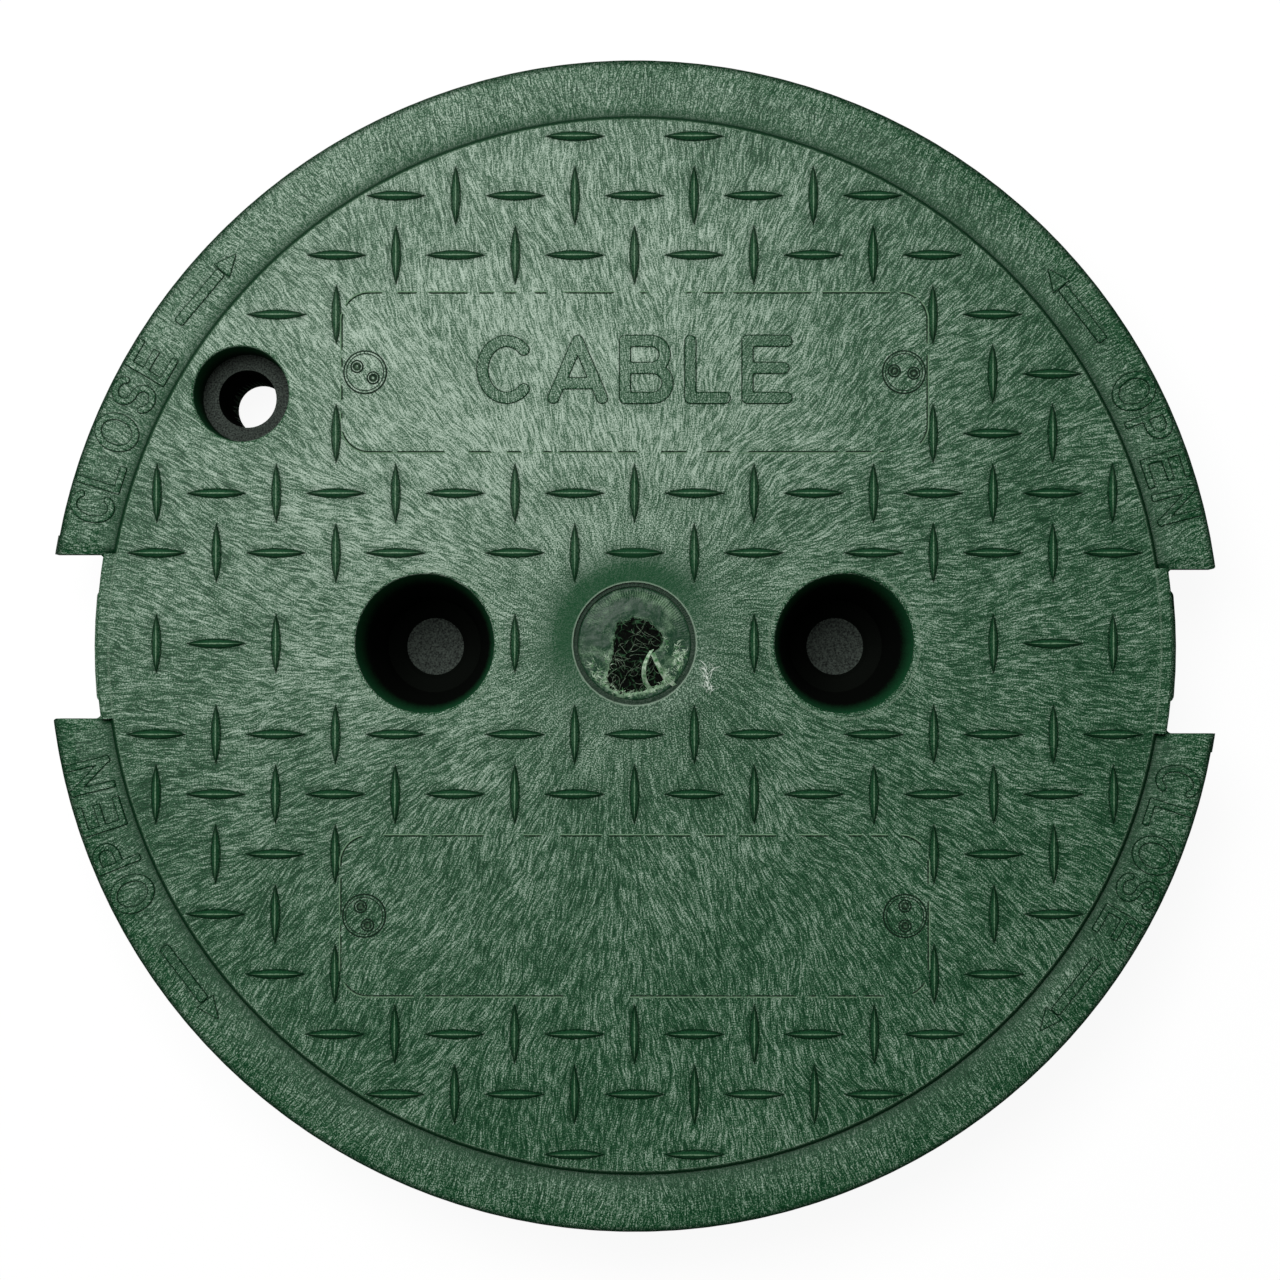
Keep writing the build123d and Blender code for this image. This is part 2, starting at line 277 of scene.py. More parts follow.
def make_piece(name, points, faces, shades, material, smooth_angle=40.0):
    """A mesh piece from points in millimetres, with a shade from 0 to 1 for each."""
    mesh = bpy.data.meshes.new(name)
    mesh.from_pydata([(x * MM, y * MM, z * MM) for x, y, z in points], [], faces)
    mesh.shade_smooth()
    mesh.set_sharp_from_angle(angle=math.radians(smooth_angle))
    mesh.attributes.new("shade", "FLOAT", "POINT").data.foreach_set("value", shades)
    carried(name, mesh, material)


def grid(width, height, cell):
    """The places of a grid that covers a box about the middle, with some to spare."""
    columns = int(width / cell) + 5
    rows = int(height / cell) + 5
    xs = (np.arange(columns) - (columns - 1) / 2) * cell
    ys = (np.arange(rows) - (rows - 1) / 2) * cell
    return np.meshgrid(xs, ys)


def drawn_in(distance, gx, gy, cell):
    """How far grid places lie outside a shape, and the places with outer ones moved to its edge."""
    gap = distance(gx, gy)
    step = cell * 0.01
    slope_x = (distance(gx + step, gy) - gap) / step
    slope_y = (distance(gx, gy + step) - gap) / step
    outside = gap > 0
    return gap, np.where(outside, gx - slope_x * gap, gx), np.where(outside, gy - slope_y * gap, gy)


def relief(distance, place, box, lift, cell, edge=raised_edge, sink=foot_sink, roughen=None):
    """Points and faces of a raised shape, and shades from 0 at its foot to 1 on top.

    distance gives how far points lie outside the shape, place turns the shape's
    own x and y into the cover's, and roughen adds to the height at x and y."""
    gap, gx, gy = drawn_in(distance, *grid(*box, cell), cell)
    inside = gap <= 0
    rise = np.where(inside, lift * np.clip(-gap / edge, 0.0, 1.0), -sink)
    kept = inside[:-1, :-1] | inside[1:, :-1] | inside[:-1, 1:] | inside[1:, 1:]
    numbers = {}
    points = []
    faces = []
    shades = []

    def corner(row, column):
        if (row, column) not in numbers:
            numbers[row, column] = len(points)
            shades.append(max(0.0, rise[row, column] / lift))
            x, y = place(gx[row, column], gy[row, column])
            height = surface_height(x, y) + rise[row, column]
            if roughen and inside[row, column]:
                height += roughen(x, y)
            points.append((x, y, height))
        return numbers[row, column]

    for row, column in zip(*np.nonzero(kept)):
        ring = [(row, column), (row, column + 1), (row + 1, column + 1), (row + 1, column)]
        faces.append([corner(*cell_corner) for cell_corner in ring])
    return points, faces, shades


def joined(parts):
    """Several lists of points, faces and shades as one."""
    points = []
    faces = []
    shades = []
    for part_points, part_faces, part_shades in parts:
        start = len(points)
        points.extend(part_points)
        faces.extend([[start + n for n in face] for face in part_faces])
        shades.extend(part_shades)
    return points, faces, shades


# Letters, as strokes of even width

def arc(cx, cy, rx, ry, start, end, steps=20):
    """Points along an ellipse from one angle to another, in degrees."""
    turns = [math.radians(start + (end - start) * n / steps) for n in range(steps + 1)]
    return [(cx + rx * math.cos(t), cy + ry * math.sin(t)) for t in turns]


def bowl(left, right, top, bottom):
    """A round bow from a stem out to the right and back to it."""
    radius = (top - bottom) / 2
    bend = arc(right - radius, bottom + radius, radius, radius, 90, -90)
    return [(left, top), *bend, (left, bottom)]


def letter_strokes(letter, width, height, stroke):
    """The middle lines of a letter's strokes, in a box about its middle."""
    left = (stroke - width) / 2
    right = -left
    bottom = (stroke - height) / 2
    top = -bottom
    middle = 0.02 * height
    waist = -0.04 * height
    crossbar = -0.2 * height
    crossbar_half = 0.7 * right
    c_mouth = 44
    s_mouth = 22
    strokes = {
        "L": [[(left, top), (left, bottom), (right, bottom)]],
        "E": [
            [(right, top), (left, top), (left, bottom), (right, bottom)],
            [(left, middle), (right - 0.06 * width, middle)],
        ],
        "O": [arc(0, 0, right, top, 0, 360, steps=36)],
        "C": [arc(0, 0, right, top, c_mouth, 360 - c_mouth, steps=30)],
        "S": [
            arc(0, top / 2, right, top / 2, s_mouth, 270)
            + arc(0, bottom / 2, right, top / 2, 90, s_mouth - 180)
        ],
        "P": [[(left, top), (left, bottom)], bowl(left, right, top, waist)],
        "B": [
            [(left, top), (left, bottom)],
            bowl(left, right - 0.05 * width, top, middle),
            bowl(left, right, middle, bottom),
        ],
        "N": [[(left, bottom), (left, top), (right, bottom), (right, top)]],
        "A": [
            [(left, bottom), (0, top), (right, bottom)],
            [(-crossbar_half, crossbar), (crossbar_half, crossbar)],
        ],
    }
    return strokes[letter]


def letter_distance(strokes, stroke, corner):
    """A function that says how far points lie outside a letter."""
    half = stroke / 2
    pieces = []
    for line in strokes:
        for (ax, ay), (bx, by) in zip(line, line[1:]):
            length = math.hypot(bx - ax, by - ay)
            if length > 0:
                round_end = half if len(line) > straight_line_points else corner
                pieces.append((ax, ay, (bx - ax) / length, (by - ay) / length, length, round_end))

    def distance(x, y):
        best = np.full(np.shape(x), FAR_AWAY)
        for ax, ay, ux, uy, length, rounding in pieces:
            along = np.abs((x - ax) * ux + (y - ay) * uy - length / 2)
            across = np.abs((y - ay) * ux - (x - ax) * uy)
            past_end = along - (length / 2 + half) + rounding
            past_side = across - half + rounding
            outer = np.hypot(np.maximum(past_end, 0), np.maximum(past_side, 0))
            inner = np.minimum(np.maximum(past_end, past_side), 0)
            best = np.minimum(best, outer + inner - rounding)
        return best

    return distance


def on_rim(angle, radius=lettering_radius):
    """Places a shape on the flange with its top outwards, at an angle from +X."""
    turn = math.radians(angle)

    def place(x, y):
        reach = radius + y
        return (
            reach * math.cos(turn) + x * math.sin(turn),
            reach * math.sin(turn) - x * math.cos(turn),
        )

    return place


def rim_word(name, letters, material):
    """A word on the flange, from letters with the angle of each one's middle."""
    parts = []
    for letter, angle in letters:
        width = rim_widths[letter]
        strokes = letter_strokes(letter, width, rim_letter_height, rim_stroke)
        distance = letter_distance(strokes, rim_stroke, rim_corner)
        box = (width, rim_letter_height)
        parts.append(relief(distance, on_rim(angle), box, rim_lift, rim_cell))
    make_piece(name, *joined(parts), material)


def arrow_distance(x, y):
    """How far points lie outside an arrow that points along +x."""
    neck = arrow_length / 2 - arrow_head_length
    shaft_middle = (neck - arrow_length / 2) / 2
    shaft_half = (neck + arrow_length / 2) / 2
    past_end = np.abs(x - shaft_middle) - shaft_half + arrow_rounding
    past_side = np.abs(y) - arrow_shaft_width / 2 + arrow_rounding
    outer = np.hypot(np.maximum(past_end, 0), np.maximum(past_side, 0))
    shaft = outer + np.minimum(np.maximum(past_end, past_side), 0) - arrow_rounding
    flare = math.atan2(arrow_head_width / 2, arrow_head_length)
    side = (np.abs(y) - arrow_head_width / 2) * math.cos(flare) + (x - neck) * math.sin(flare)
    head = np.maximum(side, neck - x)
    blunt = x - (arrow_length / 2 - arrow_blunt_tip)
    return np.minimum(shaft, np.maximum(head, blunt))


def rim_arrow(name, angle, clockwise, material):
    """A straight arrow on the flange at an angle from +X."""
    outline = on_rim(angle, arrow_radius)
    way = 1 if clockwise else -1

    def place(x, y):
        return outline(way * x, y)

    box = (arrow_length, arrow_head_width)
    points, faces, shades = relief(arrow_distance, place, box, rim_lift, rim_cell)
    if not clockwise:
        faces = [face[::-1] for face in faces]
    make_piece(name, points, faces, shades, material)


def word_on_panel(material):
    """The raised word on the upper panel."""
    widths = [panel_widths[letter] for letter in panel_word]
    whole = sum(widths) + panel_letter_gap * (len(widths) - 1)
    start = panel_word_place[0] - whole / 2
    parts = []
    for letter, width in zip(panel_word, widths):
        middle = start + width / 2
        strokes = letter_strokes(letter, width, panel_letter_height, panel_stroke)
        distance = letter_distance(strokes, panel_stroke, panel_stroke / 2)

        def place(x, y, middle=middle):
            return x + middle, y + panel_word_place[1]

        box = (width, panel_letter_height)
        parts.append(relief(distance, place, box, panel_lift, panel_cell))
        start += width + panel_letter_gap
    make_piece("panel_word", *joined(parts), material)


# Edge of the disc at the ends of the notches

def ledge(turn, first, last):
    """One strip along the disc's edge from one y to another, for one side of the cover."""
    section = [
        (skirt_radius - ledge_width, 0.0),
        (skirt_radius - ledge_bevel, 0.0),
        (skirt_radius, -ledge_bevel),
        (skirt_radius, -ledge_depth),
    ]
    points = []
    for n in range(ledge_steps + 1):
        y = first + (last - first) * n / ledge_steps
        for reach, drop in section:
            x = math.sqrt(reach ** 2 - y ** 2)
            points.append((turn * x, turn * y, tread_height + drop))
    wide = len(section)
    faces = []
    for n in range(ledge_steps):
        for m in range(wide - 1):
            here = n * wide + m
            faces.append([here, here + wide, here + wide + 1, here + 1])
    faces.append(list(range(wide)))
    faces.append(list(range(ledge_steps * wide, (ledge_steps + 1) * wide))[::-1])
    return points, faces, [1.0] * len(points)


def notch_ledges(material):
    """Carries the disc's bevelled edge on to the sides of both notches."""
    back = notch_width / 2 - notch_offset
    front = -notch_width / 2 - notch_offset
    ends = [
        (back + ledge_overlap, back - ledge_length),
        (front + ledge_length, front - ledge_overlap),
    ]
    parts = [ledge(turn, first, last) for turn in (1, -1) for first, last in ends]
    make_piece("notch_ledges", *joined(parts), material, smooth_angle=20.0)


# Panel lines

def panel_path(middle_y):
    """Points and outward directions round a panel's edge."""
    half_length = panel_length / 2 - panel_corner
    half_width = panel_width / 2 - panel_corner
    bend = panel_corner * math.pi / 2
    straights = [2 * half_width, 2 * half_length] * 2
    corners = [(1, 1), (-1, 1), (-1, -1), (1, -1)]
    path = []
    for side, (straight, corner) in enumerate(zip(straights, corners)):
        turn = math.radians(90 * side)
        out = (math.cos(turn), math.sin(turn))
        middle = (corner[0] * half_length, middle_y + corner[1] * half_width)
        for n in range(int(straight / panel_line_step)):
            back = straight - n * panel_line_step
            x = middle[0] + out[0] * panel_corner + out[1] * back
            y = middle[1] + out[1] * panel_corner - out[0] * back
            path.append((x, y, *out))
        for n in range(int(bend / panel_line_step)):
            angle = turn + n * panel_line_step / panel_corner
            way = (math.cos(angle), math.sin(angle))
            path.append((middle[0] + panel_corner * way[0], middle[1] + panel_corner * way[1], *way))
    return path


def circle_path(x, y, radius, steps):
    """Points and outward directions round a circle."""
    turns = [2 * math.pi * n / steps for n in range(steps)]
    ways = [(math.cos(turn), math.sin(turn)) for turn in turns]
    return [(x + radius * way[0], y + radius * way[1], *way) for way in ways]


def ribbon(path, across, patchy=0.0):
    """Points, faces and shades of a closed low ribbon that follows the surface.

    across gives each edge's distance from the path, height and shade, and where
    the ribbon is patchy it sinks into the surface here and there."""
    points = []
    shades = []
    for x, y, out_x, out_y in path:
        dip = patchy * max(0.0, noise.noise(Vector((x * 0.22, y * 0.22, 4.0))) - 0.05)
        for offset, rise, shade in across:
            px = x + out_x * offset
            py = y + out_y * offset
            points.append((px, py, surface_height(px, py) + rise - dip))
            shades.append(shade)
    rows = len(path)
    wide = len(across)
    faces = []
    for row in range(rows):
        here = row * wide
        there = (row + 1) % rows * wide
        faces.extend([here + n, here + n + 1, there + n + 1, there + n] for n in range(wide - 1))
    return points, faces, shades


def panel_line(name, middle_y, material):
    """The fine broken step where a panel of the mould meets the rest, with painted shade on its low side
    and a painted highlight on its raised side.
    """
    line = ribbon(panel_path(middle_y), panel_section, panel_line_patchiness)
    make_piece(name, *line, material)


def disc_lines(name, x, y, turn, material):
    """Lines of painted shade round an insert disc and round its two pips."""
    parts = [
        ribbon(circle_path(x, y, disc_radius + outer_line_gap, disc_line_steps), outer_section),
        ribbon(circle_path(x, y, disc_radius - disc_ring_inset, disc_line_steps), ring_section),
    ]
    for end in (-1, 1):
        pip_x = x + end * pip_spacing / 2 * math.cos(math.radians(turn))
        pip_y = y + end * pip_spacing / 2 * math.sin(math.radians(turn))
        line = circle_path(pip_x, pip_y, pip_radius + outer_line_gap, pip_line_steps)
        spot = circle_path(pip_x, pip_y, pip_radius - pip_spot_inset, pip_line_steps)
        parts.extend([ribbon(line, outer_section), ribbon(spot, spot_section)])
    make_piece(name, *joined(parts), material)


# Torn gate in the middle

def outline_distance(x, y, outline):
    """How far points lie outside a closed outline."""
    best = np.full(np.shape(x), FAR_AWAY)
    inside = np.zeros(np.shape(x), dtype=bool)
    for (ax, ay), (bx, by) in zip(outline, outline[1:] + outline[:1]):
        ex, ey = bx - ax, by - ay
        along = np.clip(((x - ax) * ex + (y - ay) * ey) / (ex * ex + ey * ey), 0, 1)
        best = np.minimum(best, np.hypot(x - ax - along * ex, y - ay - along * ey))
        crosses = (ay > y) != (by > y)
        rise = by - ay if by != ay else 1e-9
        inside ^= crosses & (x < (bx - ax) * (y - ay) / rise + ax)
    return np.where(inside, -best, best)


def rough(x, y, scale, seed=0.0):
    """Smooth noise from -1 to 1 at a place in millimetres."""
    return noise.fractal(Vector((x * scale, y * scale, seed)), 0.7, 2.0, 3)


def share_of(value):
    """A value kept between 0 and 1."""
    return max(0.0, min(1.0, value))


def skin_ridges(x, y, middle, half_width, lean):
    """Fine radial ridges in a band of the upper part of the skin, from -1 to 1."""
    turn = math.atan2(y, x)
    upper = max(0.0, math.sin(turn + lean))
    band = max(0.0, 1 - abs(math.hypot(x, y) - middle) / half_width)
    return band * upper * math.sin(turn * skin_ridge_count + 2 * rough(x, y, 0.6))


def skin_height(x, y):
    """How far the skin stands above the recess: ridged, lumpy and drawn up to the stub."""
    low = max(0.0, -y / gate_radius)
    slope = share_of((math.hypot(x, y) - stub_radius) / (gate_radius - stub_radius))
    stub = (stub_level - surface_height(x, y)) * (1 - slope) ** 2
    lumps = (0.10 + 0.2 * low) * rough(x, y, 0.35, 7.0) + 0.10 * low * rough(x, y, 2.0, 1.0)
    return 0.14 * skin_ridges(x, y, 12.6, 1.6, 0.3) + stub + lumps


def skin_shade(x, y):
    """How pale the skin is: at its torn lip and in patches, with a painted highlight along its upper
    ridges.
    """
    core = float(outline_distance(x, y, gate_core_outline))
    low = share_of((-y - 4.0) / 4.0)
    lip = max(0.0, 1 - core / 1.6) * (0.25 + 0.75 * low)
    patches = 0.55 * max(0.0, rough(x, y, 0.16, 12.0) + 0.1) * (1 - low)
    # painted highlight along the upper ridges
    ridges = 0.7 * max(0.0, skin_ridges(x, y, 12.8, 1.5, 0.1))
    return share_of(lip + patches + ridges + 0.5 * low * rough(x, y, 1.2, 5.0))


def as_drawn(x, y):
    """Leaves a shape where it is drawn, in the middle of the cover."""
    return x, y


def gate_skin(material):
    """The torn glossy skin round the gate's core."""
    ragged = np.vectorize(lambda x, y: 0.55 * rough(x, y, 0.9, 3.0))

    def distance(x, y):
        core = outline_distance(x, y, gate_core_outline) + ragged(x, y)
        return np.maximum(np.hypot(x, y) - gate_radius, -core)

    box = (2 * gate_radius, 2 * gate_radius)
    points, faces, _ = relief(
        distance, as_drawn, box, skin_lift, skin_cell, gate_edge, gate_sink, skin_height
    )
    shades = [skin_shade(x, y) for x, y, _ in points]
    make_piece("gate_skin", points, faces, shades, material)


def core_web(x, y):
    """1 on the fine walls that cross the core, and 0 in the pores between them."""
    near = noise.voronoi(Vector((x * 0.42, y * 0.42, 2.0)))[0]
    return max(0.0, 1 - (near[1] - near[0]) / 0.10)


def gate_core(material):
    """The porous core of the gate, with painted shade in its pores, crossed by a web of fine walls."""
    def distance(x, y):
        return outline_distance(x, y, gate_core_outline) - 0.5

    def walls(x, y):
        return 0.28 * core_web(x, y)

    box = (core_box, core_box)
    points, faces, _ = relief(
        distance, as_drawn, box, core_lift, core_cell, gate_edge, gate_sink, walls
    )
    shades = [core_web(x, y) * max(0.0, 0.6 + rough(x, y, 0.5, 9.0)) for x, y, _ in points]
    make_piece("gate_core", points, faces, shades, material)


def strand(draw, x, y, heading, length, curl, arch, steps=7):
    """A torn strand that starts at a place and wanders along its heading."""
    line = []
    bend = draw.uniform(-curl, curl)
    for n in range(steps):
        share = n / (steps - 1)
        rise = arch * math.sin(math.pi * min(1.0, share * 1.1)) + 0.28
        line.append((x, y, surface_height(x, y) + rise, 1.0 - 0.75 * share ** 2))
        heading += bend + draw.uniform(-curl, curl) * 0.5
        x += math.cos(heading) * length / (steps - 1)
        y += math.sin(heading) * length / (steps - 1)
    return line


def strands(name, lines, thickness, material):
    """Fine tapered strands as one piece."""
    data = bpy.data.curves.new(name, "CURVE")
    data.dimensions = "3D"
    data.bevel_depth = thickness / 2 * MM
    data.bevel_resolution = 1
    data.use_fill_caps = True
    data.resolution_u = 3
    for line in lines:
        spline = data.splines.new("NURBS")
        spline.points.add(len(line) - 1)
        spline.order_u = 3
        spline.use_endpoint_u = True
        for point, (x, y, z, width) in zip(spline.points, line):
            point.co = (x * MM, y * MM, z * MM, 1.0)
            point.radius = width
    carried(name, data, material)


def drawn_strand(points, arch, side=0.0):
    """A strand through chosen points, shifted to one side."""
    line = []
    count = len(points)
    for n, (x, y) in enumerate(points):
        share = n / (count - 1)
        rise = arch * math.sin(math.pi * share) + 0.35
        line.append((x + side, y + side * 0.4, surface_height(x, y) + rise, 1.0 - 0.4 * share))
    return line


def inside_gate(line):
    """True where a whole strand lies inside the gate's recess."""
    return all(math.hypot(x, y) < gate_radius - 0.2 for x, y, _, _ in line)


def forked_ribs(draw):
    """The drawn-out ribs of the gate, each as strands side by side."""
    return [
        drawn_strand(rib, 0.5 + draw.uniform(-0.25, 0.25), side * gate_rib_spread)
        for rib in gate_ribs
        for side in range(-gate_rib_strands, gate_rib_strands + 1)
    ]


def tuft_lines(draw):
    """Strands in tufts at chosen places on the torn skin."""
    lines = []
    for x, y, spread, heading, count in gate_tufts:
        for _ in range(count):
            start_x = x + draw.uniform(-spread, spread)
            start_y = y + draw.uniform(-spread, spread)
            if math.hypot(start_x, start_y) < gate_radius - 1.0:
                way = math.radians(heading + draw.uniform(-45, 45))
                lines.append(strand(draw, start_x, start_y, way, draw.uniform(1.2, 3.0), 0.4, 0.25))
    return lines


def hem_lines(draw):
    """Short strands along the lower rim of the gate."""
    lines = []
    for n in range(gate_hem_count):
        spread = gate_hem_turn * n / gate_hem_count + draw.uniform(-1, 1)
        turn = math.radians(gate_hem_start + spread)
        reach = draw.uniform(12.2, 13.6)
        way = turn + math.pi + draw.uniform(-0.9, 0.9)
        length = draw.uniform(0.5, 1.5)
        lines.append(strand(draw, reach * math.cos(turn), reach * math.sin(turn), way, length, 0.6, 0.2))
    return lines


def web_lines(draw):
    """Long fine strands that lie over the core."""
    lines = []
    while len(lines) < gate_web_count:
        x = draw.uniform(-7, 7)
        y = draw.uniform(-12, 6)
        if outline_distance(x, y, gate_core_outline) < -0.3:
            way = draw.uniform(0, 2 * math.pi)
            lines.append(strand(draw, x, y, way, draw.uniform(2.0, 6.0), 0.42, 0.3, steps=9))
    return lines


def gate_strands(pale_material, web_material):
    """The torn strands of the gate: forked ribs, tufts, a frayed hem and a web."""
    draw = random.Random(11)
    strands("gate_ribs", forked_ribs(draw), gate_rib_thickness, pale_material)
    frayed = tuft_lines(draw) + hem_lines(draw)
    frayed = [line for line in frayed if inside_gate(line)]
    strands("gate_tufts", frayed, gate_tuft_thickness, pale_material)
    strands("gate_web", web_lines(draw), gate_web_thickness, web_material)


def scuff(material):
    """Pale burrs where something scraped the tread beside the gate."""
    draw = random.Random(5)
    lines = []
    for n in range(scuff_count):
        x = scuff_place[0] + draw.uniform(-0.4, 0.5) * (1 + n % 3)
        y = scuff_place[1] + draw.uniform(-4.0, 3.5)
        way = math.radians(draw.uniform(60, 110))
        lines.append(strand(draw, x, y, way, draw.uniform(1.0, 3.4), 0.35, 0.0))
    flat = [[(x, y, z - scuff_sink, width) for x, y, z, width in line] for line in lines]
    strands("scuff_burrs", flat, scuff_thickness, material)


# Materials

def add(tree, kind, inputs=None, **settings):
    """A shader node with its settings and inputs."""
    made = tree.nodes.new(kind)
    for key, value in settings.items():
        setattr(made, key, value)
    for name, value in (inputs or {}).items():
        if isinstance(value, bpy.types.NodeSocket):
            tree.links.new(value, made.inputs[name])
        else:
            made.inputs[name].default_value = value
    return made


def sums(tree, operation, *values, clamp=False):
    """The result of a Math node."""
    inputs = dict(enumerate(values))
    return add(tree, "ShaderNodeMath", inputs, operation=operation, use_clamp=clamp).outputs[0]


def vectors(tree, operation, *values):
    """The result of a Vector Math node."""
    return add(tree, "ShaderNodeVectorMath", dict(enumerate(values)), operation=operation).outputs[0]


def scaled(tree, vector, factor):
    """A vector times a number."""
    return add(tree, "ShaderNodeVectorMath", {0: vector, "Scale": factor}, operation="SCALE").outputs[0]


def ramp(tree, value, low, high, out_low=0.0, out_high=1.0, smooth=False):
    """A value stretched from one range to another."""
    inputs = {0: value, 1: low, 2: high, 3: out_low, 4: out_high}
    kind = "SMOOTHSTEP" if smooth else "LINEAR"
    return add(tree, "ShaderNodeMapRange", inputs, interpolation_type=kind).outputs[0]


def product(tree, *values):
    """Several values multiplied together."""
    total, *others = values
    for value in others:
        total = sums(tree, "MULTIPLY", total, value)
    return total


def split(tree, vector):
    """The x, y and z of a vector."""
    return add(tree, "ShaderNodeSeparateXYZ", {0: vector}).outputs


def facing(tree):
    """The x, y and z of the direction that the surface faces."""
    return split(tree, add(tree, "ShaderNodeNewGeometry").outputs["Normal"])


def length_of(tree, vector):
    """How long a vector is."""
    return add(tree, "ShaderNodeVectorMath", {0: vector}, operation="LENGTH").outputs["Value"]


def blend(tree, factor, a, b):
    """The result of mixing two colours."""
    mixed = add(tree, "ShaderNodeMix", data_type="RGBA")
    for name, value in (("Factor_Float", factor), ("A_Color", a), ("B_Color", b)):
        socket = next(s for s in mixed.inputs if s.identifier == name)
        if isinstance(value, bpy.types.NodeSocket):
            tree.links.new(value, socket)
        elif name == "Factor_Float":
            socket.default_value = value
        else:
            socket.default_value = (*value, 1.0)
    return next(s for s in mixed.outputs if s.identifier == "Result_Color")


def noise_value(tree, place, scale, detail=1.0, rough=0.5):
    """Fine noise at a place."""
    inputs = {"Vector": place, "Scale": scale, "Detail": detail, "Roughness": rough}
    return add(tree, "ShaderNodeTexNoise", inputs).outputs[0]


def streaks(tree, place, along, scale, reach, samples):
    """Noise drawn out along a direction, from about 0 to 1."""
    total = None
    for n in range(samples):
        shift = reach * (2 * n / (samples - 1) - 1)
        moved = vectors(tree, "ADD", place, scaled(tree, along, shift))
        value = noise_value(tree, moved, scale)
        total = value if total is None else sums(tree, "ADD", total, value)
    mean = sums(tree, "DIVIDE", total, float(samples))
    return ramp(tree, mean, 0.45, 0.55)


def new_material(name):
    """An empty material, with its tree and its main shader."""
    made = bpy.data.materials.new(name)
    made.use_nodes = True
    tree = made.node_tree
    return made, tree, tree.nodes["Principled BSDF"]


def surface(tree, shader, colour, roughness, shine, relief_height, strength, depth):
    """Gives a shader its colour, roughness, shine and a fine relief of a depth in millimetres."""
    tree.links.new(colour, shader.inputs["Base Color"])
    if isinstance(roughness, bpy.types.NodeSocket):
        tree.links.new(roughness, shader.inputs["Roughness"])
    else:
        shader.inputs["Roughness"].default_value = roughness
    shader.inputs["Specular IOR Level"].default_value = shine
    inputs = {"Strength": strength, "Distance": depth * MM, "Height": relief_height}
    tree.links.new(add(tree, "ShaderNodeBump", inputs).outputs[0], shader.inputs["Normal"])


def own_shade(tree):
    """The shade that a piece's points carry."""
    return add(tree, "ShaderNodeAttribute", attribute_name="shade").outputs["Fac"]


def millimetres(tree):
    """The place on the cover in millimetres, as a vector."""
    where = add(tree, "ShaderNodeTexCoord").outputs["Object"]
    return scaled(tree, where, 1.0 / MM)


def openness(tree):
    """How open a place is, from 0 to 1."""
    inputs = {"Distance": shade_reach * MM}
    return add(tree, "ShaderNodeAmbientOcclusion", inputs, samples=shade_rays).outputs["AO"]


def flow_direction(tree, place, flat):
    """Outward from the gate, with a slow wander and a quick jitter."""
    wander = ramp(tree, noise_value(tree, place, wander_scale), 0.3, 0.7, -0.35, 0.35)
    jitter = ramp(tree, noise_value(tree, place, jitter_scale), 0.3, 0.7, -0.27, 0.27)
    angle = sums(tree, "ADD", wander, jitter)
    inputs = {"Vector": vectors(tree, "NORMALIZE", flat), "Angle": angle}
    return add(tree, "ShaderNodeVectorRotate", inputs, rotation_type="Z_AXIS").outputs[0]


def flow_tone(tree, place, flat, radius):
    """Pale streaks that run out from the gate over a dark ground, with their speckle and relief; the
    tone also carries a painted pool of light and painted shade towards the gate.
    """
    along = flow_direction(tree, place, flat)
    fine = streaks(tree, place, along, *fine_streak)
    long = streaks(tree, place, along, *long_streak)
    stipple = noise_value(tree, place, stipple_scale, 2.0)
    patches = noise_value(tree, place, patch_scale, 3.0)
    calm = ramp(tree, radius, *calm_reach, 0.80, 0.48)
    grain = product(tree, ramp(tree, stipple, 0.38, 0.62), calm)
    rest = product(tree, fine, sums(tree, "SUBTRACT", 1.0, calm))
    tone = ramp(tree, sums(tree, "ADD", grain, rest), 0.0, 1.0, -0.12, 1.12)
    for shift in (
        ramp(tree, long, 0.0, 1.0, -0.16, 0.16),
        ramp(tree, patches, 0.35, 0.65, -0.10, 0.06),
        # painted shade that darkens the tread towards the gate
        ramp(tree, radius, *gate_shade_reach, -0.12, 0.0, smooth=True),
        # painted pool of light, palest to the upper left
        ramp(tree, around(tree, flat, *light_pool_place), *light_pool_reach, 0.36, -0.08, smooth=True),
    ):
        tone = sums(tree, "ADD", tone, shift)
    relief_height = sums(tree, "ADD", product(tree, fine, 0.6), product(tree, stipple, 0.5))
    return tone, stipple, relief_height


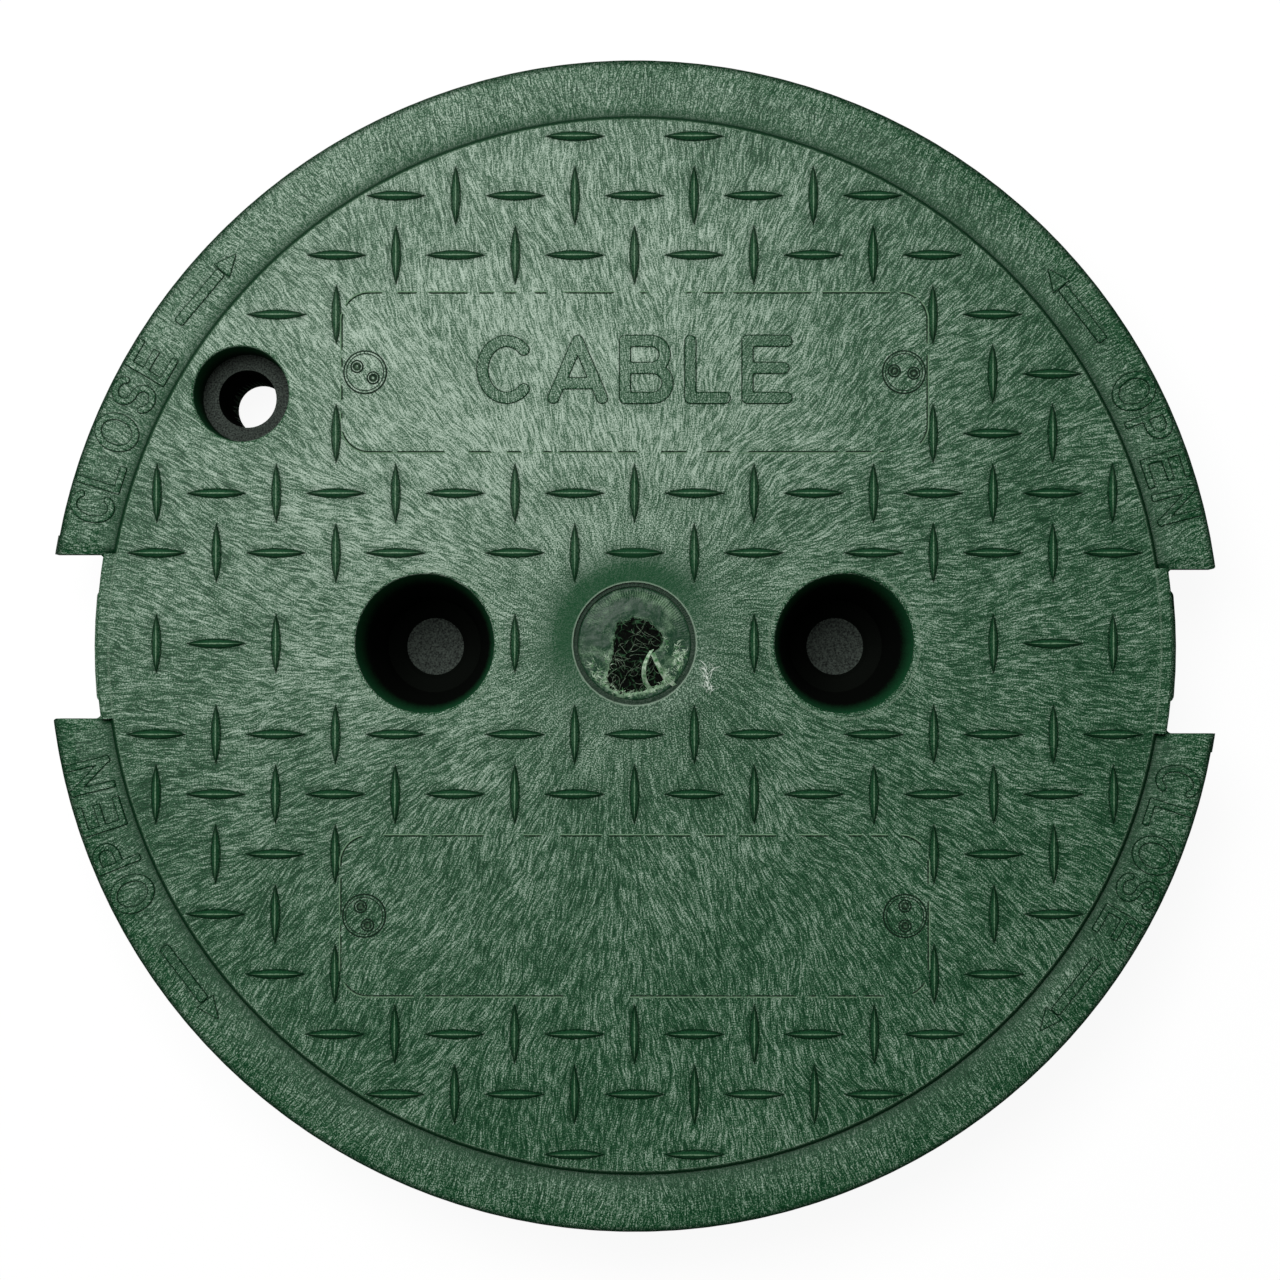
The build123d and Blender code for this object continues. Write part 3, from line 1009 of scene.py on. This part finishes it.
def plastic(name, on_cover=False, shift=0.0):
    """Foamed green plastic, with painted shade in its corners and painted highlights on its edges.

    A raised piece has painted shade round the foot of its sides, as its shade says."""
    made, tree, shader = new_material(name)
    place = millimetres(tree)
    axes = split(tree, place)
    flat = add(tree, "ShaderNodeCombineXYZ", {0: axes[0], 1: axes[1]}).outputs[0]
    radius = length_of(tree, flat)
    tone, stipple, relief_height = flow_tone(tree, place, flat, radius)
    tone = sums(tree, "ADD", tone, shift)
    deep = blend(tree, ramp(tree, tone, 0.05, 0.5), PLASTIC_DARK, PLASTIC_MID)
    colour = blend(tree, ramp(tree, tone, 0.5, 1.3), deep, PLASTIC_PALE)
    if on_cover:
        upper = ramp(tree, axes[2], tread_height - 5.5, tread_height - 4.5)
        # Painted highlights on edges and ridges, and painted shade on flanks, in the valley, round the
        # gate and on the flange's edge
        colour = edge_highlights(tree, colour, axes[2], radius, flat, stipple)
        colour = lug_marks(tree, colour, axes[2], flat, stipple)
        colour = valley_marks(tree, colour, axes, radius, upper)
        colour = gate_marks(tree, colour, flat, radius, upper)
        colour = rim_edge_shade(tree, colour, radius)
    else:
        # painted shade round the foot of a raised piece's sides
        foot = ramp(tree, own_shade(tree), 0.40, 1.0, 0.97, 0.0, smooth=True)
        colour = blend(tree, foot, colour, FOOT_SHADE)
    # Painted shade in corners and creases, where the surface is less open
    colour = blend(tree, ramp(tree, openness(tree), 0.50, 0.98, 0.9, 0.0), colour, PAINTED_SHADE)
    roughness = ramp(tree, stipple, 0.3, 0.7, 0.30, 0.40)
    surface(tree, shader, colour, roughness, 0.14, relief_height, 0.7, 0.07)
    return made


def hole_plastic():
    """Dull plastic down in the sockets and the bolt hole, painted green at the mouth and going to black
    with depth as painted shade, with grainy floors.
    """
    made, tree, shader = new_material("hole_plastic")
    place = millimetres(tree)
    height = split(tree, place)[2]
    grain = noise_value(tree, place, 2.4, 2.0)
    uneven = sums(tree, "ADD", height, ramp(tree, grain, 0.3, 0.7, -2.5, 2.5))
    # painted shade with depth: lighter green near the mouth, black deep down
    colour = blend(tree, ramp(tree, uneven, 30.0, 43.0), HOLE_SHADE_BLACK, HOLE_GREEN)
    floor_colour = blend(tree, ramp(tree, grain, 0.32, 0.68), FLOOR_DARK, FLOOR_GREY)
    level = ramp(tree, facing(tree)[2], 0.9, 0.97)
    low = ramp(tree, height, socket_floor_height + 0.3, socket_floor_height + 0.5, 1.0, 0.0)
    seat = sums(tree, "COMPARE", height, tread_height - bolt_seat_depth, 0.1)
    floors = product(tree, level, sums(tree, "ADD", low, seat, clamp=True))
    colour = blend(tree, floors, colour, floor_colour)
    surface(tree, shader, colour, 0.75, 0.06, grain, 0.7, 0.08)
    return made


def shaded_plastic(name, low, high, roughness, shine, grain=3.0):
    """Plastic that goes from one colour to another with its piece's own shade."""
    made, tree, shader = new_material(name)
    speckle = noise_value(tree, millimetres(tree), grain, 3.0)
    wavy = sums(tree, "ADD", own_shade(tree), ramp(tree, speckle, 0.3, 0.7, -0.25, 0.25))
    colour = blend(tree, ramp(tree, wavy, 0.1, 1.0), low, high)
    uneven = ramp(tree, speckle, 0.3, 0.7, roughness - 0.08, roughness + 0.1)
    surface(tree, shader, colour, uneven, shine, speckle, 0.4, 0.04)
    return made


def torn_plastic(name, low, high):
    """Stretched and torn plastic, pale where it has whitened."""
    made, tree, shader = new_material(name)
    place = millimetres(tree)
    mottle = noise_value(tree, place, 0.9, 3.0)
    colour = blend(tree, ramp(tree, mottle, 0.35, 0.65), low, high)
    fine = noise_value(tree, place, 6.0, 2.0)
    surface(tree, shader, colour, ramp(tree, fine, 0.3, 0.7, 0.35, 0.6), 0.5, fine, 0.4, 0.03)
    return made


def around(tree, flat, x, y, mirrored=False):
    """How far a place is from an upright axis, or from that axis and its mirror images."""
    if mirrored:
        flat = vectors(tree, "ABSOLUTE", flat)
    return length_of(tree, vectors(tree, "SUBTRACT", flat, (x, y, 0.0)))


def thin_ring(tree, distance, radius, half_width, strength):
    """A soft-edged ring at a distance from an axis."""
    off = sums(tree, "ABSOLUTE", sums(tree, "SUBTRACT", distance, radius))
    return ramp(tree, off, half_width * 0.5, half_width, strength, 0.0)


def edge_highlights(tree, colour, height, radius, flat, stipple):
    """Broken painted highlights on the disc's edge and round the sockets' mouths."""
    from_socket = around(tree, flat, socket_place, 0.0, mirrored=True)
    sockets = thin_ring(tree, from_socket, socket_radius + 0.1, 0.45, 0.7)
    edge = thin_ring(tree, radius, tread_radius - 0.25, 0.4, 0.5)
    edge = product(tree, edge, ramp(tree, height, tread_height - 0.4, tread_height - 0.2))
    highlit = sums(tree, "ADD", sockets, edge, clamp=True)
    return blend(tree, product(tree, highlit, ramp(tree, stipple, 0.38, 0.58)), colour, EDGE_HIGHLIGHT)


def valley_marks(tree, colour, axes, radius, upper):
    """Painted shade in the valley round the disc and in a band beside it on the flange, cut off at the
    notches.
    """
    side = product(tree, axes[1], sums(tree, "SIGN", axes[0]))
    from_notch = sums(tree, "ABSOLUTE", sums(tree, "ADD", side, notch_offset))
    off_notch = ramp(tree, from_notch, notch_width / 2 - 0.6, notch_width / 2)
    below = ramp(tree, axes[2], tread_height - 0.3, tread_height - 0.1, 1.0, 0.0)
    below = product(tree, below, off_notch, upper)
    # painted shade in the valley, and a softer painted shade on the flange beside it
    valley = thin_ring(tree, radius, valley_radius - 0.35, 0.70, 0.85)
    colour = blend(tree, product(tree, valley, below), colour, FOOT_SHADE)
    beside = ramp(tree, radius, valley_radius, valley_radius + 4.5, 0.55, 0.0, smooth=True)
    return blend(tree, product(tree, beside, below), colour, SHADED_GREEN)


def gate_marks(tree, colour, flat, radius, upper):
    """Painted shade in the dimple round the gate, darkest to its upper left, with a ring of painted
    highlight and painted shade in the groove.
    """
    outward = vectors(tree, "NORMALIZE", flat)
    inputs = {0: outward, 1: (-0.5, 0.87, 0.0)}
    towards = add(tree, "ShaderNodeVectorMath", inputs, operation="DOT_PRODUCT").outputs["Value"]
    shaded = ramp(tree, towards, -0.9, 0.4, 0.1, 0.92)
    near = ramp(tree, radius, gate_ring_radius + 2.5, gate_ring_radius + 13.0, 1.0, 0.0, smooth=True)
    colour = blend(tree, product(tree, near, upper, shaded), colour, SHADED_GREEN)
    # painted highlight on the ring, and painted shade in the groove inside it
    highlight_ring = thin_ring(tree, radius, gate_ring_radius + 0.1, 0.3, 0.8)
    colour = blend(tree, product(tree, highlight_ring, upper), colour, EDGE_HIGHLIGHT)
    groove = thin_ring(tree, radius, gate_ring_radius - 0.65, 0.6, 0.8)
    return blend(tree, product(tree, groove, upper), colour, PAINTED_SHADE)


def rim_edge_shade(tree, colour, radius):
    """Painted shade on the rounded edge of the flange, where it faces up."""
    outer = ramp(tree, radius, flange_radius - 2.0, flange_radius - 0.4, 0.0, 0.85)
    level = ramp(tree, facing(tree)[2], 0.1, 0.5)
    return blend(tree, product(tree, outer, level), colour, PAINTED_SHADE)


def lug_marks(tree, colour, height, flat, stipple):
    """Painted shade on the flanks of the tread's lugs, darkest at their foot, and a broken painted
    highlight along their ridges.

    The painted shade is darkest where the flanks face along y."""
    above = ramp(tree, height, tread_height + 0.02, tread_height + 0.15, smooth=True)
    from_disc = around(tree, flat, disc_place_x, disc_place_y, mirrored=True)
    off_disc = ramp(tree, from_disc, disc_radius + 0.1, disc_radius + 0.2)
    tilt = ramp(tree, sums(tree, "ABSOLUTE", facing(tree)[1]), 0.0, 0.5, 0.86, 0.96)
    uneven = sums(tree, "ADD", height, ramp(tree, stipple, 0.35, 0.65, -0.2, 0.2))
    up_flank = ramp(tree, uneven, tread_height + 0.2, tread_height + 0.65)
    flank = blend(tree, up_flank, FOOT_SHADE, SHADED_GREEN)
    colour = blend(tree, product(tree, above, off_disc, tilt), colour, flank)
    # painted highlight along the lugs' ridges
    ridge = ramp(tree, height, lug_ridge_height - 0.09, lug_ridge_height - 0.02, smooth=True)
    broken = ramp(tree, stipple, 0.4, 0.6, 0.3, 1.0)
    return blend(tree, product(tree, ridge, broken), colour, RIDGE_HIGHLIGHT)


def lines_hole(face, axis, reach):
    """True where a face is the wall or a floor of a hole and looks into it."""
    middle = face.center / MM
    inward = Vector((axis[0] - middle.x, axis[1] - middle.y))
    if inward.length > reach or not socket_floor_height - 0.1 < middle.z < tread_height - 0.75:
        return False
    return face.normal.z > 0.5 or face.normal.xy.dot(inward) > 0


def mark_holes():
    """Gives the faces inside the sockets and the bolt hole the second material."""
    holes = [
        ((socket_place, 0.0), socket_radius - 1.2),
        ((-socket_place, 0.0), socket_radius - 1.2),
        (bolt_place, bolt_mouth_radius),
    ]
    for face in cover.data.polygons:
        if any(lines_hole(face, axis, reach) for axis, reach in holes):
            face.material_index = 1


# Set, light and camera

def cleared_tree(owner):
    """The empty node tree of a material or a world."""
    owner.use_nodes = True
    owner.node_tree.nodes.clear()
    return owner.node_tree


def for_camera(tree, kind, other, seen):
    """One kind of shader in two strengths and colours: seen by the camera, and for all else."""
    camera_ray = add(tree, "ShaderNodeLightPath").outputs["Is Camera Ray"]
    made = [
        add(tree, kind, {"Color": colour, "Strength": strength}).outputs[0]
        for colour, strength in (other, seen)
    ]
    return add(tree, "ShaderNodeMixShader", {0: camera_ray, 1: made[0], 2: made[1]}).outputs[0]


def lit_floor():
    """A plain pale floor that looks white and keeps a faint shadow."""
    mesh = bpy.data.meshes.new("floor")
    signs = [(-1, -1), (1, -1), (1, 1), (-1, 1)]
    mesh.from_pydata([(floor_half * x, floor_half * y, 0) for x, y in signs], [], [(0, 1, 2, 3)])
    floor = bpy.data.objects.new("floor", mesh)
    floor.location.z = -floor_drop
    bpy.context.scene.collection.objects.link(floor)
    made = bpy.data.materials.new("floor")
    tree = cleared_tree(made)
    glow = for_camera(tree, "ShaderNodeEmission", (BLACK, 0.0), (WHITE, floor_glow))
    soft = add(tree, "ShaderNodeBsdfDiffuse", {"Color": floor_tone}).outputs[0]
    both = add(tree, "ShaderNodeAddShader", {0: glow, 1: soft}).outputs[0]
    add(tree, "ShaderNodeOutputMaterial", {"Surface": both})
    mesh.materials.append(made)


def softbox(name, place, aim, size, brightness):
    """A soft rectangular lamp of a given brightness."""
    width, height = size
    data = bpy.data.lights.new(name, "AREA")
    data.shape = "RECTANGLE"
    data.size = width
    data.size_y = height
    data.energy = brightness * math.pi * width * height
    lamp = bpy.data.objects.new(name, data)
    lamp.location = place
    lamp.rotation_euler = (Vector(aim) - Vector(place)).to_track_quat("-Z", "Y").to_euler()
    bpy.context.scene.collection.objects.link(lamp)


def surroundings():
    """A dim even studio, white where the camera looks past the floor."""
    world = bpy.data.worlds.new("studio")
    bpy.context.scene.world = world
    tree = cleared_tree(world)
    dim = (WHITE, world_brightness)
    mixed = for_camera(tree, "ShaderNodeBackground", dim, (WHITE, 1.0))
    add(tree, "ShaderNodeOutputWorld", {"Surface": mixed})


def camera():
    """The photograph's view: from about 0.75 m above the tread, nearly straight down."""
    data = bpy.data.cameras.new("camera")
    data.lens = camera_lens
    data.sensor_width = camera_sensor
    made = bpy.data.objects.new("camera", data)
    made.location = camera_place
    back = (Vector(camera_place) - Vector(camera_aim)).normalized()
    right = Vector((0.0, 1.0, 0.0)).cross(back).normalized()
    up = back.cross(right)
    made.rotation_euler = Matrix((right, up, back)).transposed().to_euler()
    bpy.context.scene.collection.objects.link(made)
    bpy.context.scene.camera = made


# The whole

cover_plastic = plastic("cover_plastic", on_cover=True)
letter_plastic = plastic("letter_plastic", shift=-0.26)
rim_plastic = plastic("rim_plastic", shift=-0.06)
cover.data.materials.clear()
cover.data.materials.append(cover_plastic)
cover.data.materials.append(hole_plastic())
mark_holes()

for name, letters in rim_words.items():
    rim_word(name, letters, rim_plastic)
for name, (angle, clockwise) in rim_arrows.items():
    rim_arrow(name, angle, clockwise, rim_plastic)
word_on_panel(letter_plastic)
notch_ledges(cover_plastic)

# The fine lines go from painted shade to painted highlight with each point's shade
line_plastic = shaded_plastic("line_plastic", FOOT_SHADE, RIDGE_HIGHLIGHT, 0.6, 0.1, grain=1.5)
panel_line("panel_line_upper", panel_spacing / 2, line_plastic)
panel_line("panel_line_lower", -panel_spacing / 2, line_plastic)
for corner_name, turn in disc_turns.items():
    disc_x = disc_place_x if "right" in corner_name else -disc_place_x
    disc_y = disc_place_y if "upper" in corner_name else -disc_place_y
    disc_lines("disc_lines_" + corner_name, disc_x, disc_y, turn, line_plastic)

gate_skin(shaded_plastic("skin_plastic", *SKIN_COLOURS, 0.36, 0.16))
gate_core(shaded_plastic("core_plastic", *CORE_COLOURS, 0.70, 0.05))
pale_plastic = torn_plastic("pale_plastic", *TORN_COLOURS)
gate_strands(pale_plastic, torn_plastic("web_plastic", *WEB_COLOURS))
scuff(torn_plastic("scuff_plastic", *SCUFF_COLOURS))

lit_floor()
softbox("key", key_place, key_aim, key_size, key_brightness)
surroundings()
camera()
bpy.context.scene.view_settings.view_transform = "Standard"
